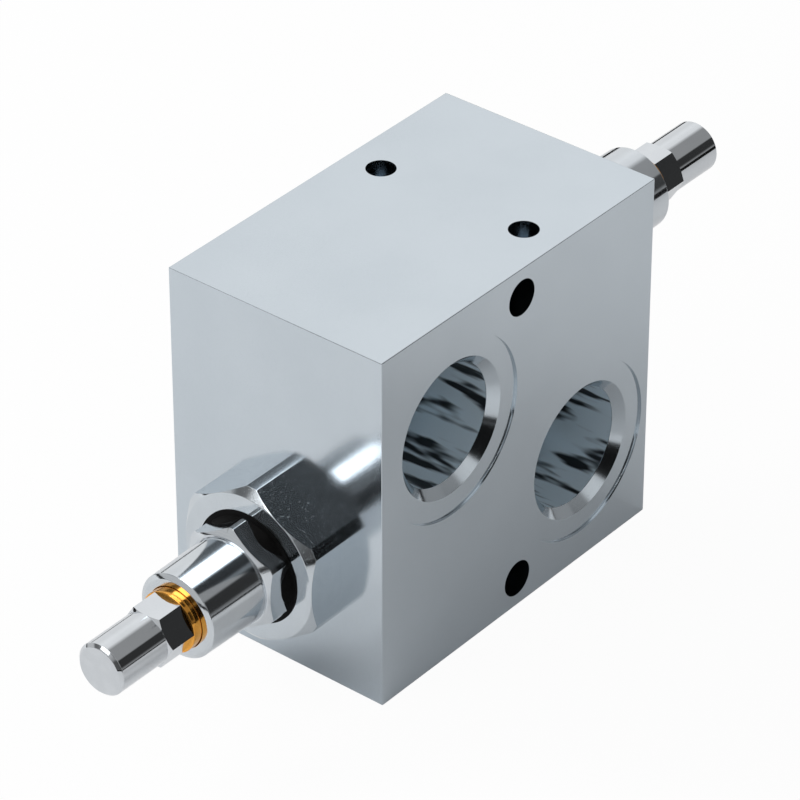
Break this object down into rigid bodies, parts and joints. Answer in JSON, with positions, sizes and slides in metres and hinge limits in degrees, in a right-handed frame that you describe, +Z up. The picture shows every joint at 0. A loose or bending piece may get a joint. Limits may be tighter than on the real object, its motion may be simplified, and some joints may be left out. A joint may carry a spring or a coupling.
{
  "type": "dual cross relief valve",
  "caption": "Hydraulic cross relief valve: a ported metal block with an adjustable relief cartridge screwed into each end, guarding two through lines.",
  "frame": {"origin": "centre of the valve block, which is also the centre of the whole valve", "axes": "+X along the cartridge axes, towards the right cartridge; -Y out of the front port face; +Z up"},
  "size_m": [0.1994, 0.056, 0.085],
  "materials": {
    "block": "zinc-plated satin",
    "plug": "blackened steel, low sheen",
    "cartridge": "bright zinc-plated steel",
    "nut": "bright zinc-plated steel",
    "screw": "bright zinc-plated steel",
    "hardened_steel": "ground steel",
    "spring_steel": "oiled spring steel",
    "black_rubber": "matte",
    "orange_polymer": "gloss",
    "white_polymer": "matte"
  },
  "bodies": {
    "valve": {"valve_block": "block", "left_cross_drilling_plug": "plug", "right_cross_drilling_plug": "plug", "left_cartridge_body": "cartridge", "left_seat_sleeve": "hardened_steel", "left_body_seal": "black_rubber", "left_nose_seal": "black_rubber", "left_nose_backup_ring": "white_polymer", "right_cartridge_body": "cartridge", "right_seat_sleeve": "hardened_steel", "right_body_seal": "black_rubber", "right_nose_seal": "black_rubber", "right_nose_backup_ring": "white_polymer"},
    "left_guide": {"left_spring_guide": "hardened_steel", "left_guide_seal": "black_rubber", "left_main_spring": "spring_steel"},
    "left_screw": {"left_adjusting_screw": "screw", "left_screw_guide_ring": "orange_polymer"},
    "left_nut_seal": {"left_lock_nut_seal": "black_rubber"},
    "left_nut": {"left_lock_nut": "nut"},
    "left_poppet": {"left_poppet": "hardened_steel"},
    "right_guide": {"right_spring_guide": "hardened_steel", "right_guide_seal": "black_rubber", "right_main_spring": "spring_steel"},
    "right_screw": {"right_adjusting_screw": "screw", "right_screw_guide_ring": "orange_polymer"},
    "right_nut_seal": {"right_lock_nut_seal": "black_rubber"},
    "right_nut": {"right_lock_nut": "nut"},
    "right_poppet": {"right_poppet": "hardened_steel"}
  },
  "joints": [
    {"name": "left_adjustment", "type": "slide", "parent": "valve", "child": "left_guide", "axis": [1, 0, 0], "range_m": [-0.0015, 0.003], "deforming": ["left_main_spring"]},
    {"name": "left_screw_turn", "type": "hinge", "parent": "left_guide", "child": "left_screw", "pos_m": [-0.065, 0, -0.0145], "axis": [1, 0, 0], "range_deg": [-360, 720]},
    {"name": "left_nut_lift", "type": "slide", "parent": "valve", "child": "left_nut_seal", "axis": [-1, 0, 0], "range_m": [0, 0.0015]},
    {"name": "left_nut_turn", "type": "hinge", "parent": "left_nut_seal", "child": "left_nut", "pos_m": [-0.057, 0, -0.0145], "axis": [-1, 0, 0], "range_deg": [0, 360]},
    {"name": "left_poppet_lift", "type": "slide", "parent": "valve", "child": "left_poppet", "axis": [-1, 0, 0], "range_m": [0, 0.0015], "stiffness_N_per_m": 20000, "springref_m": -0.004, "deforming": ["left_main_spring"]},
    {"name": "right_adjustment", "type": "slide", "parent": "valve", "child": "right_guide", "axis": [-1, 0, 0], "range_m": [-0.0015, 0.003], "deforming": ["right_main_spring"]},
    {"name": "right_screw_turn", "type": "hinge", "parent": "right_guide", "child": "right_screw", "pos_m": [0.065, 0, 0.0145], "axis": [-1, 0, 0], "range_deg": [-360, 720]},
    {"name": "right_nut_lift", "type": "slide", "parent": "valve", "child": "right_nut_seal", "axis": [1, 0, 0], "range_m": [0, 0.0015]},
    {"name": "right_nut_turn", "type": "hinge", "parent": "right_nut_seal", "child": "right_nut", "pos_m": [0.057, 0, 0.0145], "axis": [1, 0, 0], "range_deg": [0, 360]},
    {"name": "right_poppet_lift", "type": "slide", "parent": "valve", "child": "right_poppet", "axis": [1, 0, 0], "range_m": [0, 0.0015], "stiffness_N_per_m": 20000, "springref_m": -0.004, "deforming": ["right_main_spring"]}
  ],
  "couplings": [
    {"joint": "left_screw_turn", "follows": "left_adjustment", "rad_per_m": 4188.8},
    {"joint": "left_nut_turn", "follows": "left_nut_lift", "rad_per_m": 4188.8},
    {"joint": "right_screw_turn", "follows": "right_adjustment", "rad_per_m": 4188.8},
    {"joint": "right_nut_turn", "follows": "right_nut_lift", "rad_per_m": 4188.8}
  ]
}
